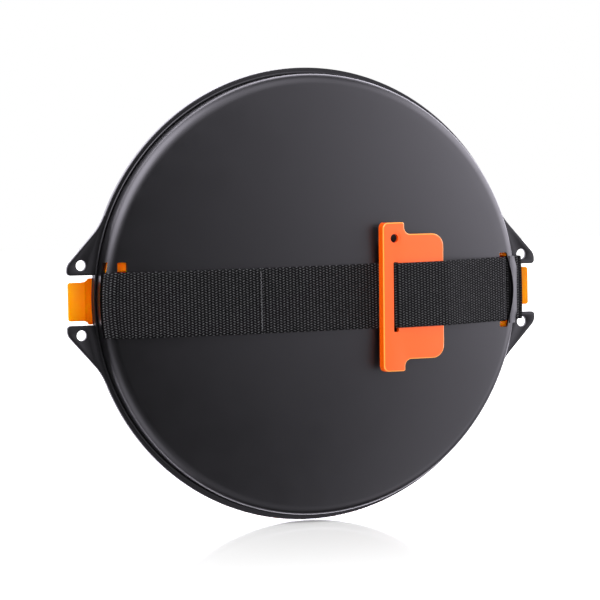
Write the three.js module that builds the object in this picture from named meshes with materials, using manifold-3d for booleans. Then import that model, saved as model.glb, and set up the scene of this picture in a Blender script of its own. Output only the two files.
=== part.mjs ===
// Round hand-held paint tray: a domed black shell, a rim ring with two pairs of ears, an orange
// lift-out pan and a webbing hand strap with a slide plate on it.
// Millimetres. The origin is the crown of the domed back, where the palm rests. +Y runs through
// the tray to its open front, +X runs to the slide plate's side and +Z is up.

import * as THREE from 'three';
import { mergeVertices } from 'three/addons/utils/BufferGeometryUtils.js';
import Module from 'manifold-3d';

const wasm = await Module();
wasm.setup();

// Fits
const seatGap = 0.3;
const ringFit = 0.35;
const panFit = 0.5;
const strapFit = 0.6;

// Domed back shell
const wallRadius = 129.8;
const wallHeight = 8.8;
const shoulderRadius = 7.8;
const crownHeight = 32;
const shellWall = 1.9;
const footReach = 1.6;
const footThickness = 1.5;

// Strap slots, one pair each side: one through the back, one through the side wall
const slotInset = 13.1;
const slotWidth = 5.4;
const slotHalfLength = 22.2;
const slotCorner = 0.6;
const sideSlotTop = 12.7;
const sideSlotHeight = 5.9;
const bridgeBulge = 1.7;
const bridgeBulgeHalfLength = 12;
const bridgeBulgeRamp = 8;
const slotBow = 4.6;

// Rim ring and its ears
const ringWidth = 3.35;
const ringThickness = 3.2;
const beadWidth = 0.9;
const beadHeight = 0.6;
const earReach = 13.7;
const earTipHeight = 17.5;
const earTipRadius = 7.3;
const earEdgeAngle = 47.7;
const earBlendRadius = 36;
const earCorner = 2;
const notchHalfWidth = 14.6;
const notchDepth = 2.3;
const earHoleReach = 5.3;
const earHoleZ = 20.3;
const earHoleRadius = 3.1;

// Paint pan
const panWall = 2.0;
const panRimInset = 2.9;
const panRimThickness = 2.4;
const panTurn = 0.4;
const panCornerRadius = 8;
const pocketDepth = 12;
const tabReach = 11.65;
const tabHalfWidth = 11.25;
const tabThickness = 2.0;
const tabLift = 0.2;
const tabDip = 0.7;
const tabFlare = 2.2;
const tabFlareReach = 4.5;
const tabFlareEnd = 3.7;
const tabBendReach = 2;
const tabCorner = 1.4;
const ribCount = 7;
const ribPitch = 11;
const ribWidth = 3.2;
const ribHeight = 1.8;
const ribFieldInset = 37.8;
const ribFieldBottom = 12;

// Webbing
const webWidth = 38;
const webThickness = 1.5;
const webTilt = 0.79;
const webDrop = 0.93;
const bendRadius = 1.6;
const lapEnd = 39.2;
const lapTail = 5;
const hemHeight = 7.6;
const hemStandoff = 1.2;
const diveInset = 4.4;
const diveRadius = 5;
const diveSlope = 0.3;
const bendRun = 3;
const diveRun = 3;

// Stitching
const threadWidth = 0.7;
const threadHeight = 0.5;
const stitchLength = 2.5;
const stitchPitch = 3.6;
const stitchMargin = 2.2;
const zigzagPitch = 1.7;
const zigzagSwing = 2.0;
const lapRowInset = 1.6;

// Slide plate on the strap
const plateX = 52.9;
const plateDrop = 1.3;
const plateWidth = 40.2;
const plateHalfHeight = 43.7;
const plateStepX = 14.2;
const plateShoulder = 36.7;
const plateStepRadius = 4.2;
const plateThickness = 2.6;
const plateLipThickness = 2.4;
const plateLipDepth = 5.6;
const plateCorner = 7.5;
const plateSmallCorner = 3.6;
const plateSlotX = 6.7;
const plateSlotWidth = 3.2;
const plateSlotHalfLength = 20.5;
const plateHoleX = 7.6;
const plateHoleZ = 34.4;
const plateHoleRadius = 2.6;

// Facets
const turnSteps = 64;
const domeSteps = 5;
const shoulderSteps = 5;
const smallSteps = 5;

// Radii that follow from the shell's side wall
const ringInner = wallRadius + ringFit;
const ringRadius = ringInner + ringWidth;
const notchRadius = ringRadius - notchDepth;
const earTip = ringRadius + earReach;
const earHoleX = ringRadius + earHoleReach;
const panRimRadius = ringRadius - panRimInset;
const tabTip = ringRadius + tabReach;
const slotInner = wallRadius - slotInset;
const ribFieldRadius = wallRadius - ribFieldInset;

// Levels along Y that several pieces share
const ringBack = crownHeight;
const ringFront = ringBack + ringThickness;
const footBack = ringFront + seatGap;
const footFront = footBack + footThickness;
const panRimBack = footFront + seatGap;
const panRimFront = panRimBack + panRimThickness;

// The dome is the sphere that meets the shoulder smoothly and has its crown at the origin
const shoulderX = wallRadius - shoulderRadius;
const shoulderY = crownHeight - wallHeight;
const domeRadius = (shoulderX ** 2 + shoulderY ** 2 - shoulderRadius ** 2) / (2 * (shoulderY - shoulderRadius));

// Lift of the webbing's middle line above the dome, for the layer that lies on it and the lap
const firstLift = seatGap + webThickness / 2;
const lapLift = firstLift + seatGap + webThickness;

const materials = {
  shell: new THREE.MeshStandardMaterial({ color: 0x2c2c2e, roughness: 0.42, metalness: 0 }),
  ring: new THREE.MeshStandardMaterial({ color: 0x252426, roughness: 0.45, metalness: 0 }),
  pan: new THREE.MeshStandardMaterial({ color: 0xff6a14, roughness: 0.38, metalness: 0 }),
  plate: new THREE.MeshStandardMaterial({ color: 0xff7b3c, roughness: 0.4, metalness: 0 }),
  webbing: new THREE.MeshStandardMaterial({ color: 0x19191b, roughness: 0.9, metalness: 0 }),
  thread: new THREE.MeshStandardMaterial({ color: 0x222224, roughness: 0.8, metalness: 0 }),
};

// Solids for cutting and joining

function solidOf(geometry) {
  const bare = geometry.clone();
  bare.deleteAttribute('normal');
  bare.deleteAttribute('uv');
  const merged = mergeVertices(bare, 1e-4);
  const corners = merged.index.array;
  const kept = [];
  for (let i = 0; i < corners.length; i += 3) {
    const [a, b, c] = corners.slice(i, i + 3);
    if (a !== b && b !== c && c !== a) kept.push(a, b, c);
  }
  const vertProperties = new Float32Array(merged.attributes.position.array);
  const triVerts = new Uint32Array(kept);
  return new wasm.Manifold(new wasm.Mesh({ numProp: 3, vertProperties, triVerts }));
}

function geometryOf(solid) {
  const mesh = solid.getMesh();
  const geometry = new THREE.BufferGeometry();
  geometry.setAttribute('position', new THREE.Float32BufferAttribute(mesh.vertProperties, 3));
  geometry.setIndex(Array.from(mesh.triVerts));
  geometry.computeVertexNormals();
  return geometry;
}

// Outlines

function arcPoints(centreX, centreY, radius, from, to, steps) {
  const points = [];
  for (let i = 0; i <= steps; i++) {
    const angle = from + ((to - from) * i) / steps;
    points.push(new THREE.Vector2(centreX + radius * Math.cos(angle), centreY + radius * Math.sin(angle)));
  }
  return points;
}

function roundedBox(left, right, low, high, corner) {
  const quarter = Math.PI / 2;
  return [
    ...arcPoints(right - corner, low + corner, corner, -quarter, 0, smallSteps),
    ...arcPoints(right - corner, high - corner, corner, 0, quarter, smallSteps),
    ...arcPoints(left + corner, high - corner, corner, quarter, 2 * quarter, smallSteps),
    ...arcPoints(left + corner, low + corner, corner, 2 * quarter, 3 * quarter, smallSteps),
  ];
}

function mirrored(points) {
  return points.map((point) => new THREE.Vector2(-point.x, point.y)).reverse();
}

// A plate with its outline in X and Z, from one level of Y to another
function plateAlongY(outline, back, front) {
  const geometry = new THREE.ExtrudeGeometry(new THREE.Shape(outline), {
    depth: front - back,
    bevelEnabled: false,
    curveSegments: 1,
  });
  return geometry.rotateX(Math.PI / 2).translate(0, front, 0);
}

// A bar with its outline in X and Y, centred on a height
function barAlongZ(outline, length, height) {
  const geometry = new THREE.ExtrudeGeometry(new THREE.Shape(outline), {
    depth: length,
    bevelEnabled: false,
    curveSegments: 1,
  });
  return geometry.translate(0, 0, height - length / 2);
}

function box(left, right, back, front, low, high) {
  const geometry = new THREE.BoxGeometry(right - left, front - back, high - low);
  return geometry.translate((left + right) / 2, (back + front) / 2, (low + high) / 2);
}

// Half section of the bowl from its crown to the end of its straight wall
function bowlSection(depthInside, corner, wallEnd) {
  const outerWall = wallRadius - depthInside;
  const sphere = domeRadius - depthInside;
  const cornerX = outerWall - corner;
  const cornerY = domeRadius - Math.sqrt((sphere - corner) ** 2 - cornerX ** 2);
  const meeting = Math.atan2(cornerY - domeRadius, cornerX);
  return [
    ...arcPoints(0, domeRadius, sphere, -Math.PI / 2, meeting, domeSteps),
    ...arcPoints(cornerX, cornerY, corner, meeting, 0, shoulderSteps).slice(1),
    new THREE.Vector2(outerWall, wallEnd),
  ];
}

function onAxis(points) {
  const closed = points.map((point) => point.clone());
  closed[0].x = 0;
  closed[closed.length - 1].x = 0;
  return closed;
}

// Shell

// The slide plate's side has a bridge that stands proud between its two slots
function bulgedBridge() {
  const outline = bowlSection(0, shoulderRadius, crownHeight - sideSlotTop + sideSlotHeight);
  const shoulder = outline.slice(domeSteps, domeSteps + shoulderSteps + 1);
  const inner = [];
  for (const point of [...shoulder].reverse()) {
    inner.push(new THREE.Vector2(point.x - shellWall, point.y + shellWall));
  }
  const strip = new THREE.Shape([...shoulder, ...inner]);
  const length = 2 * (bridgeBulgeHalfLength + bridgeBulgeRamp);
  const steps = 10;
  const geometry = new THREE.ExtrudeGeometry(strip, { depth: length, steps, bevelEnabled: false, curveSegments: 1 });
  geometry.translate(0, 0, -length / 2);
  const position = geometry.attributes.position;
  for (let i = 0; i < position.count; i++) {
    const x = position.getX(i);
    const y = position.getY(i);
    const share = Math.min(1, (length / 2 - Math.abs(position.getZ(i))) / bridgeBulgeRamp);
    const along = Math.min(1, Math.max(0, (x - shoulder[0].x) / (wallRadius - shoulder[0].x)));
    position.setXYZ(i, x + bridgeBulge * share * along, y, position.getZ(i));
  }
  return geometry;
}

function backSlotOutline(bow) {
  const outer = slotInner + slotWidth;
  const quarter = Math.PI / 2;
  const outerEdge = [];
  for (let i = 0; i <= 8; i++) {
    const z = (slotHalfLength - slotCorner) * (i / 4 - 1);
    outerEdge.push(new THREE.Vector2(outer + bow * Math.cos((quarter * z) / (slotHalfLength - slotCorner)), z));
  }
  return [
    ...arcPoints(outer - slotCorner, slotCorner - slotHalfLength, slotCorner, -quarter, 0, smallSteps).slice(0, -1),
    ...outerEdge,
    ...arcPoints(outer - slotCorner, slotHalfLength - slotCorner, slotCorner, 0, quarter, smallSteps).slice(1),
    ...arcPoints(slotInner + slotCorner, slotHalfLength - slotCorner, slotCorner, quarter, 2 * quarter, smallSteps),
    ...arcPoints(slotInner + slotCorner, slotCorner - slotHalfLength, slotCorner, 2 * quarter, 3 * quarter, smallSteps),
  ];
}

function backShell() {
  const outer = bowlSection(0, shoulderRadius, footBack);
  const foot = [
    new THREE.Vector2(wallRadius + footReach, footBack),
    new THREE.Vector2(wallRadius + footReach, footFront),
  ];
  const inner = bowlSection(shellWall, shoulderRadius - shellWall, footFront).reverse();
  let shell = solidOf(new THREE.LatheGeometry(onAxis([...outer, ...foot, ...inner]), turnSteps));
  shell = shell.add(solidOf(bulgedBridge()));
  const sideTop = crownHeight - sideSlotTop;
  const sideEnd = wallRadius + bridgeBulge + slotWidth;
  for (const side of [1, -1]) {
    const outline = backSlotOutline(side > 0 ? slotBow : 0);
    const backSlot = plateAlongY(side > 0 ? outline : mirrored(outline), 0, sideTop);
    const near = Math.min(side * shoulderX, side * sideEnd);
    const far = Math.max(side * shoulderX, side * sideEnd);
    const sideSlot = box(near, far, sideTop, sideTop + sideSlotHeight, -slotHalfLength, slotHalfLength);
    shell = shell.subtract(solidOf(backSlot)).subtract(solidOf(sideSlot));
  }
  return geometryOf(shell);
}

// Rim ring

// One ear's edge, from the ring's circle out to the notch, for the upper right ear
function earEdge() {
  const slope = THREE.MathUtils.degToRad(90 - earEdgeAngle);
  const tipX = earTip - earTipRadius;
  const edgeDistance = tipX * Math.cos(slope) + earTipHeight * Math.sin(slope) + earTipRadius;
  const reach = ringRadius + earBlendRadius;
  const leave = slope - Math.acos((edgeDistance + earBlendRadius) / reach);
  const blendX = reach * Math.cos(leave);
  const blendZ = reach * Math.sin(leave);
  const cornerX = earTip - earCorner;
  const cornerZ = notchHalfWidth + earCorner;
  return {
    leave,
    points: [
      ...arcPoints(blendX, blendZ, earBlendRadius, leave + Math.PI, slope + Math.PI, smallSteps),
      ...arcPoints(tipX, earTipHeight, earTipRadius, slope, 0, smallSteps),
      ...arcPoints(cornerX, cornerZ, earCorner, 0, -Math.PI / 2, smallSteps),
    ],
  };
}

function ringOutline() {
  const ear = earEdge();
  const notch = Math.asin(notchHalfWidth / notchRadius);
  const upperRight = ear.points;
  const lowerRight = upperRight.map((point) => new THREE.Vector2(point.x, -point.y)).reverse();
  const top = arcPoints(0, 0, ringRadius, Math.PI - ear.leave, ear.leave, turnSteps / 2).slice(1, -1);
  const bottom = top.map((point) => new THREE.Vector2(-point.x, -point.y));
  return [
    ...top,
    ...upperRight,
    ...arcPoints(0, 0, notchRadius, notch, -notch, smallSteps),
    ...lowerRight,
    ...bottom,
    ...mirrored(lowerRight),
    ...arcPoints(0, 0, notchRadius, Math.PI + notch, Math.PI - notch, smallSteps),
    ...mirrored(upperRight),
  ];
}

function rimRing() {
  const bore = arcPoints(0, 0, ringInner, 0, 2 * Math.PI, turnSteps).slice(0, -1);
  const bead = [
    new THREE.Vector2(ringInner, ringBack + beadHeight),
    new THREE.Vector2(ringInner, ringBack - beadHeight / 2),
    new THREE.Vector2(ringInner + beadWidth / 3, ringBack - beadHeight),
    new THREE.Vector2(ringInner + (2 * beadWidth) / 3, ringBack - beadHeight),
    new THREE.Vector2(ringInner + beadWidth, ringBack - beadHeight / 2),
    new THREE.Vector2(ringInner + beadWidth, ringBack + beadHeight),
  ];
  bead.push(bead[0].clone());
  let ring = solidOf(plateAlongY(ringOutline(), ringBack, ringFront));
  ring = ring.subtract(solidOf(plateAlongY(bore, ringBack - 1, ringFront + 1)));
  ring = ring.add(solidOf(new THREE.LatheGeometry(bead, turnSteps)));
  for (const sideX of [1, -1]) {
    for (const sideZ of [1, -1]) {
      const rim = arcPoints(sideX * earHoleX, sideZ * earHoleZ, earHoleRadius, 0, 2 * Math.PI, 16);
      ring = ring.subtract(solidOf(plateAlongY(rim.slice(0, -1), ringBack - 1, ringFront + 1)));
    }
  }
  return geometryOf(ring);
}

// Paint pan

// Height of the strap's middle at a place along X
function strapHeight(x) {
  return x * Math.sin(THREE.MathUtils.degToRad(webTilt)) - webDrop;
}

// Room for the strap where it passes behind a bridge, grown by the pan's wall for the inside
function strapPocket(side, grown) {
  const middle = side * (slotInner + slotWidth / 2);
  const turned = middle * Math.sin(THREE.MathUtils.degToRad(panTurn));
  const inner = slotInner - strapFit - grown;
  const outer = wallRadius + slotWidth;
  const half = webWidth / 2 + strapFit + grown;
  const height = strapHeight(middle) - turned;
  const near = Math.min(side * inner, side * outer);
  const far = Math.max(side * inner, side * outer);
  const floor = crownHeight - sideSlotTop + pocketDepth / 2 + grown;
  return solidOf(box(near, far, 0, floor, height - half, height + half));
}

// A pull tab grows from the rim through the notch, dips at its root and rises to its tip
function pullTab(side) {
  const root = panRimRadius - tabThickness;
  const bend = ringRadius + tabBendReach;
  const flareEnd = ringRadius + tabFlareEnd;
  const crest = [
    new THREE.Vector2(root, panRimBack + tabDip),
    new THREE.Vector2(ringRadius - 1, panRimBack + tabDip),
    new THREE.Vector2(bend - 1, panRimBack),
    new THREE.Vector2(bend + 2, panRimBack - tabLift * 0.8),
    new THREE.Vector2(tabTip, panRimBack - tabLift),
  ];
  const underside = crest.map((point) => new THREE.Vector2(point.x, point.y + tabThickness)).reverse();
  const section = [...crest, ...underside];
  const quarter = Math.PI / 2;
  const flareZ = tabHalfWidth + tabFlare;
  const flare = arcPoints(0, 0, 1, 2 * quarter, 3 * quarter, smallSteps);
  const upper = [
    new THREE.Vector2(root, flareZ),
    ...flare.map((point) => new THREE.Vector2(flareEnd + point.x * tabFlareReach, flareZ + point.y * tabFlare)),
    ...arcPoints(tabTip - tabCorner, tabHalfWidth - tabCorner, tabCorner, quarter, 0, smallSteps),
  ];
  const lower = upper.map((point) => new THREE.Vector2(point.x, -point.y)).reverse();
  const outline = [...upper, ...lower];
  const bar = solidOf(barAlongZ(side > 0 ? section : mirrored(section), 2 * flareZ + 2, 0));
  const plan = solidOf(plateAlongY(side > 0 ? outline : mirrored(outline), ringBack, panRimFront + 2));
  return bar.intersect(plan);
}

// Low roll-off ribs across the upper half of the pan's floor, which they follow
function rollOffRibs(panFloor) {
  const high = onAxis([
    ...arcPoints(0, domeRadius, domeRadius - panFloor - ribHeight, -Math.PI / 2, -Math.PI / 4, domeSteps),
    new THREE.Vector2(0, domeRadius),
  ]);
  const low = onAxis([
    ...arcPoints(0, domeRadius, domeRadius - panFloor + panWall / 2, -Math.PI / 2, -Math.PI / 4, domeSteps),
    new THREE.Vector2(0, domeRadius),
  ]);
  const upperSide = solidOf(new THREE.LatheGeometry(high, turnSteps / 2));
  const bed = solidOf(new THREE.LatheGeometry(low, turnSteps / 2)).subtract(upperSide);
  let ribs = null;
  for (let i = 0; i < ribCount; i++) {
    const z = ribFieldBottom + i * ribPitch;
    const half = Math.sqrt(ribFieldRadius ** 2 - z ** 2);
    const bar = solidOf(box(-half, half, 0, crownHeight, z - ribWidth / 2, z + ribWidth / 2));
    ribs = ribs ? ribs.add(bar) : bar;
  }
  return bed.intersect(ribs);
}

function paintPan() {
  const outside = shellWall + panFit;
  const inside = outside + panWall;
  const outer = bowlSection(outside, shoulderRadius - outside, panRimBack);
  const inner = bowlSection(inside, panCornerRadius, panRimFront + 1);
  const rim = [
    new THREE.Vector2(panRimRadius, panRimBack),
    new THREE.Vector2(panRimRadius, panRimFront),
    new THREE.Vector2(0, panRimFront),
  ];
  const cavityTop = [new THREE.Vector2(0, panRimFront + 1)];
  let body = solidOf(new THREE.LatheGeometry(onAxis([...outer, ...rim]), turnSteps));
  let cavity = solidOf(new THREE.LatheGeometry(onAxis([...inner, ...cavityTop]), turnSteps));
  for (const side of [1, -1]) {
    body = body.subtract(strapPocket(side, 0));
    cavity = cavity.subtract(strapPocket(side, panWall));
  }
  let pan = body.subtract(cavity).add(rollOffRibs(inside));
  for (const side of [1, -1]) {
    pan = pan.add(pullTab(side));
  }
  return geometryOf(pan).rotateY(-THREE.MathUtils.degToRad(panTurn));
}

// Webbing

// Point at an arc length along the dome from its crown and a lift above it
function onDome(arc, lift) {
  const angle = arc / domeRadius;
  const radius = domeRadius + lift;
  return new THREE.Vector2(radius * Math.sin(angle), domeRadius - radius * Math.cos(angle));
}

function alongDome(from, to, lift, steps) {
  const points = [];
  for (let i = 0; i <= steps; i++) {
    points.push(onDome(from + ((to - from) * i) / steps, lift));
  }
  return points;
}

// Each corner of a middle line gives way to a bend
function withBends(corners, radius, steps) {
  const points = [corners[0]];
  for (let i = 1; i < corners.length - 1; i++) {
    const back = corners[i - 1].clone().sub(corners[i]).normalize();
    const ahead = corners[i + 1].clone().sub(corners[i]).normalize();
    const half = Math.acos(THREE.MathUtils.clamp(back.dot(ahead), -1, 1)) / 2;
    if (half > 1.5) {
      points.push(corners[i]);
      continue;
    }
    const middle = back.clone().add(ahead).normalize().multiplyScalar(radius / Math.sin(half)).add(corners[i]);
    const first = back.multiplyScalar(radius / Math.tan(half)).add(corners[i]);
    const last = ahead.multiplyScalar(radius / Math.tan(half)).add(corners[i]);
    const from = first.clone().sub(middle).angle();
    let turn = last.clone().sub(middle).angle() - from;
    if (turn > Math.PI) turn -= 2 * Math.PI;
    if (turn < -Math.PI) turn += 2 * Math.PI;
    points.push(...arcPoints(middle.x, middle.y, radius, from, from + turn, steps));
  }
  points.push(corners[corners.length - 1]);
  return points;
}

// The webbing's cross section along a middle line, and the strap of its width
function ribbon(middle) {
  const upper = [];
  const lower = [];
  for (let i = 0; i < middle.length; i++) {
    const before = middle[Math.max(0, i - 1)];
    const after = middle[Math.min(middle.length - 1, i + 1)];
    const normal = new THREE.Vector2(before.y - after.y, after.x - before.x).normalize();
    upper.push(middle[i].clone().addScaledVector(normal, webThickness / 2));
    lower.push(middle[i].clone().addScaledVector(normal, -webThickness / 2));
  }
  return barAlongZ([...upper, ...lower.reverse()], webWidth, 0);
}

// The strap runs a little low on the left and high on the right
function tilted(geometry) {
  return geometry.rotateY(-THREE.MathUtils.degToRad(webTilt)).translate(0, 0, -webDrop);
}

// Route behind a bridge, given for the +X side: down through the back slot, out at the side slot
const slotDive = slotInner + seatGap + webThickness / 2;
const sideExit = crownHeight - sideSlotTop + seatGap + webThickness / 2;
const arcOfSlot = Math.asin(slotInner / domeRadius) * domeRadius;
const slotEdge = onDome(arcOfSlot, 0);

// The webbing turns round the back slot's inner edge, from the way it comes in to straight down
function overSlotEdge(approach) {
  return arcPoints(slotEdge.x, slotEdge.y, firstLift, approach - Math.PI / 2, 0, smallSteps);
}

function strapLoop() {
  const firstLayer = alongDome(lapTail - lapEnd, 1 - arcOfSlot, firstLift, 8);
  const turn = overSlotEdge(arcOfSlot / domeRadius).map((point) => new THREE.Vector2(-point.x, point.y));
  const wrapRadius = shoulderRadius + seatGap + webThickness / 2;
  const wrap = arcPoints(-shoulderX, shoulderY, wrapRadius, 1.17 * Math.PI, 1.49 * Math.PI, 8);
  const behind = [
    new THREE.Vector2(-slotDive, sideExit - bendRadius),
    new THREE.Vector2(-slotDive - bendRadius - 0.4, sideExit + 0.5),
    new THREE.Vector2(1 - wallRadius, sideExit + 0.5),
  ];
  const lap = alongDome(4 - arcOfSlot, -lapEnd, lapLift, 8);
  return tilted(ribbon([...firstLayer, ...turn, ...behind, ...wrap, ...lap]));
}

function strapLeftRun() {
  const plateArc = Math.asin(plateX / domeRadius) * domeRadius;
  const plateEdge = plateArc - plateWidth / 2 - bendRun;
  return tilted(ribbon(alongDome(lapTail - lapEnd + seatGap, plateEdge - seatGap, firstLift, 6)));
}

// Lays out a piece of the slide plate, drawn at the crown, where the plate sits on the dome
function onPlate(geometry) {
  const angle = Math.asin(plateX / domeRadius);
  return geometry.translate(0, -domeRadius, 0).rotateZ(angle).translate(0, domeRadius, 0);
}

function pointOnPlate(x, lift) {
  const angle = Math.asin(plateX / domeRadius);
  const centre = new THREE.Vector2(0, domeRadius);
  return new THREE.Vector2(x, -lift).rotateAround(centre, angle);
}

const plateTop = 2 * seatGap + webThickness + plateLipDepth;
const overPlate = plateTop + seatGap + webThickness / 2;
const slotMiddle = plateSlotX + plateSlotWidth / 2 - plateWidth / 2;

function strapBend() {
  const start = -plateWidth / 2 - bendRun;
  const corners = [
    pointOnPlate(start, firstLift - start ** 2 / (2 * domeRadius)),
    pointOnPlate(slotMiddle, firstLift),
    pointOnPlate(slotMiddle, overPlate),
    pointOnPlate(plateWidth / 2 + 1, overPlate),
  ];
  return tilted(ribbon(withBends(corners, bendRadius, smallSteps)));
}

// The strap leaves the slide plate's right end, comes down to the back slot and dives in a wide turn
const runStart = pointOnPlate(plateWidth / 2 + 1.5, overPlate);
const diveX = slotInner + diveInset;
const divePoint = new THREE.Vector2(diveX, slotEdge.y - firstLift + (diveX - slotInner) * diveSlope);
const runEnd = runStart.clone().lerp(divePoint, 1 - diveRadius / runStart.distanceTo(divePoint));

function strapRightRun() {
  const length = runEnd.distanceTo(runStart);
  const before = runStart.clone().lerp(runEnd, 1 - diveRun / length);
  return tilted(ribbon([runStart, runStart.clone().lerp(before, 0.5), before]));
}

function strapHem() {
  const hemX = wallRadius + hemStandoff + webThickness / 2;
  const foldX = hemX + webThickness + seatGap;
  const foldMiddle = (hemX + foldX) / 2;
  const foldEnd = sideExit + 1.2 + hemHeight;
  const length = runEnd.distanceTo(runStart);
  const halfWay = new THREE.Vector2(diveX, (divePoint.y + sideExit) / 2 + 1);
  const start = runStart.clone().lerp(runEnd, 1 - (diveRun - seatGap) / length);
  const corners = [
    halfWay,
    new THREE.Vector2(diveX, sideExit + 0.6),
    new THREE.Vector2(hemX, sideExit + 1.2),
    new THREE.Vector2(hemX, foldEnd),
  ];
  const fold = arcPoints(foldMiddle, foldEnd, (foldX - hemX) / 2, Math.PI, 0, 2 * smallSteps);
  const middle = [
    ...withBends([start, divePoint, halfWay], diveRadius, smallSteps).slice(0, -1),
    ...withBends(corners, bendRadius, smallSteps).slice(0, -1),
    ...fold,
    new THREE.Vector2(foldX, sideExit + 2),
  ];
  return tilted(ribbon(middle));
}

// A thread that swings from side to side up the webbing, as seen on its face
function zigzagThread() {
  const count = Math.floor((webWidth - 2 * stitchMargin) / zigzagPitch);
  const left = [];
  const right = [];
  for (let i = 0; i <= count; i++) {
    const swing = i % 2 ? zigzagSwing / 2 : -zigzagSwing / 2;
    const height = (i - count / 2) * zigzagPitch;
    left.push(new THREE.Vector2(swing - threadWidth / 2, height));
    right.push(new THREE.Vector2(swing + threadWidth / 2, height));
  }
  return plateAlongY([...left.reverse(), ...right], 0, threadHeight);
}

// A straight row, full where the thread shows and thin where it dips
function straightThread() {
  const count = Math.floor((webWidth - 2 * stitchMargin) / stitchPitch) + 1;
  const right = [];
  for (let i = 0; i < count; i++) {
    const height = (i - (count - 1) / 2) * stitchPitch;
    for (const end of [-1, 1]) {
      const half = height + (end * stitchLength) / 2;
      const wide = new THREE.Vector2(threadWidth / 2, half);
      const thin = new THREE.Vector2(threadWidth / 5, half);
      right.push(...(end < 0 ? [thin, wide] : [wide, thin]));
    }
  }
  return plateAlongY([...right.slice(1, -1), ...mirrored(right.slice(1, -1))], 0, threadHeight);
}

function lapStitching() {
  const arc = -lapEnd - lapRowInset;
  const at = onDome(arc, lapLift + webThickness / 2 + seatGap + threadHeight);
  return tilted(zigzagThread().rotateZ(arc / domeRadius).translate(at.x, at.y, 0));
}

function hemStitching() {
  const face = wallRadius + hemStandoff + 2 * webThickness + seatGap;
  const x = face + seatGap + threadHeight;
  return tilted(straightThread().rotateZ(Math.PI / 2).translate(x, sideExit + hemHeight / 2, 0));
}

// Slide plate

function plateOutline() {
  const left = -plateWidth / 2;
  const right = plateWidth / 2;
  const stepX = left + plateStepX;
  const quarter = Math.PI / 2;
  const cornerX = right - plateCorner;
  const cornerZ = plateShoulder - plateCorner;
  const smallX = left + plateSmallCorner;
  const smallZ = plateHalfHeight - plateSmallCorner;
  const blendX = stepX + plateStepRadius;
  const blendZ = plateShoulder + plateStepRadius;
  const upper = [
    ...arcPoints(cornerX, cornerZ, plateCorner, 0, quarter, smallSteps),
    ...arcPoints(blendX, blendZ, plateStepRadius, 3 * quarter, 2 * quarter, smallSteps),
    new THREE.Vector2(stepX, plateHalfHeight),
    ...arcPoints(smallX, smallZ, plateSmallCorner, quarter, 2 * quarter, smallSteps),
  ];
  const lower = upper.map((point) => new THREE.Vector2(point.x, -point.y)).reverse();
  return [...upper, ...lower];
}

function strapSlider() {
  const left = -plateWidth / 2;
  const lipBack = plateTop - plateLipDepth;
  const plan = plateOutline();
  const slot = roundedBox(
    left + plateSlotX,
    left + plateSlotX + plateSlotWidth,
    -plateSlotHalfLength,
    plateSlotHalfLength,
    0.8,
  );
  const hole = arcPoints(left + plateHoleX, plateHoleZ, plateHoleRadius, 0, 2 * Math.PI, 16).slice(0, -1);
  const lipBlock = box(left - 1, left + plateLipThickness, -plateTop, -lipBack, -plateHalfHeight, plateHalfHeight);
  const lip = solidOf(plateAlongY(plan, -plateTop, -lipBack)).intersect(solidOf(lipBlock));
  let plate = solidOf(plateAlongY(plan, -plateTop, plateThickness - plateTop)).add(lip);
  for (const cut of [slot, hole]) {
    plate = plate.subtract(solidOf(plateAlongY(cut, -plateTop - 1, plateThickness - plateTop + 1)));
  }
  return onPlate(geometryOf(plate)).translate(0, 0, -plateDrop);
}

const tray = new THREE.Group();

function addPiece(name, geometry, material) {
  const mesh = new THREE.Mesh(geometry, material);
  mesh.name = name;
  tray.add(mesh);
}

addPiece('back_shell', backShell(), materials.shell);
addPiece('rim_ring', rimRing(), materials.ring);
addPiece('paint_pan', paintPan(), materials.pan);
addPiece('strap_loop', strapLoop(), materials.webbing);
addPiece('strap_left_run', strapLeftRun(), materials.webbing);
addPiece('strap_bend', strapBend(), materials.webbing);
addPiece('strap_right_run', strapRightRun(), materials.webbing);
addPiece('strap_hem', strapHem(), materials.webbing);
addPiece('lap_stitching', lapStitching(), materials.thread);
addPiece('hem_stitching', hemStitching(), materials.thread);
addPiece('strap_slider', strapSlider(), materials.plate);

export default tray;
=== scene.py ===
import math

import bmesh
import bpy
from mathutils import Matrix, Vector


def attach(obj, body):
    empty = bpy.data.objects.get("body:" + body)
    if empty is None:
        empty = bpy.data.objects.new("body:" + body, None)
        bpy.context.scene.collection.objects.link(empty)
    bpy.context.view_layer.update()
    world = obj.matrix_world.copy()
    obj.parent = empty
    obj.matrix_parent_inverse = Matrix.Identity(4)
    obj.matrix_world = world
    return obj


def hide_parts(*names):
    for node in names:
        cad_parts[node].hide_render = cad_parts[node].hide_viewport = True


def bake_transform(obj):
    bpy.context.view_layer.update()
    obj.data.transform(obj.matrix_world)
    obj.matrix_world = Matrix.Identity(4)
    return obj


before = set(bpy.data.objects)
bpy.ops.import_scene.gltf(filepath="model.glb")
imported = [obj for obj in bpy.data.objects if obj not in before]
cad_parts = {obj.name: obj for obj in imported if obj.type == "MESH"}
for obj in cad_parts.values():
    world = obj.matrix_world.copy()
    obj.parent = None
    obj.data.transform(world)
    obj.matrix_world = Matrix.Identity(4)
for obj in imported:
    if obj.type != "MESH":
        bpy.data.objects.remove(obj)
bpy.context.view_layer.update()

# Round hand-held paint tray, seen from its strapped back. Pieces are drawn in millimetres and
# scaled to metres when they are finished.
mm = 0.001
print("frame loaded")

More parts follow.
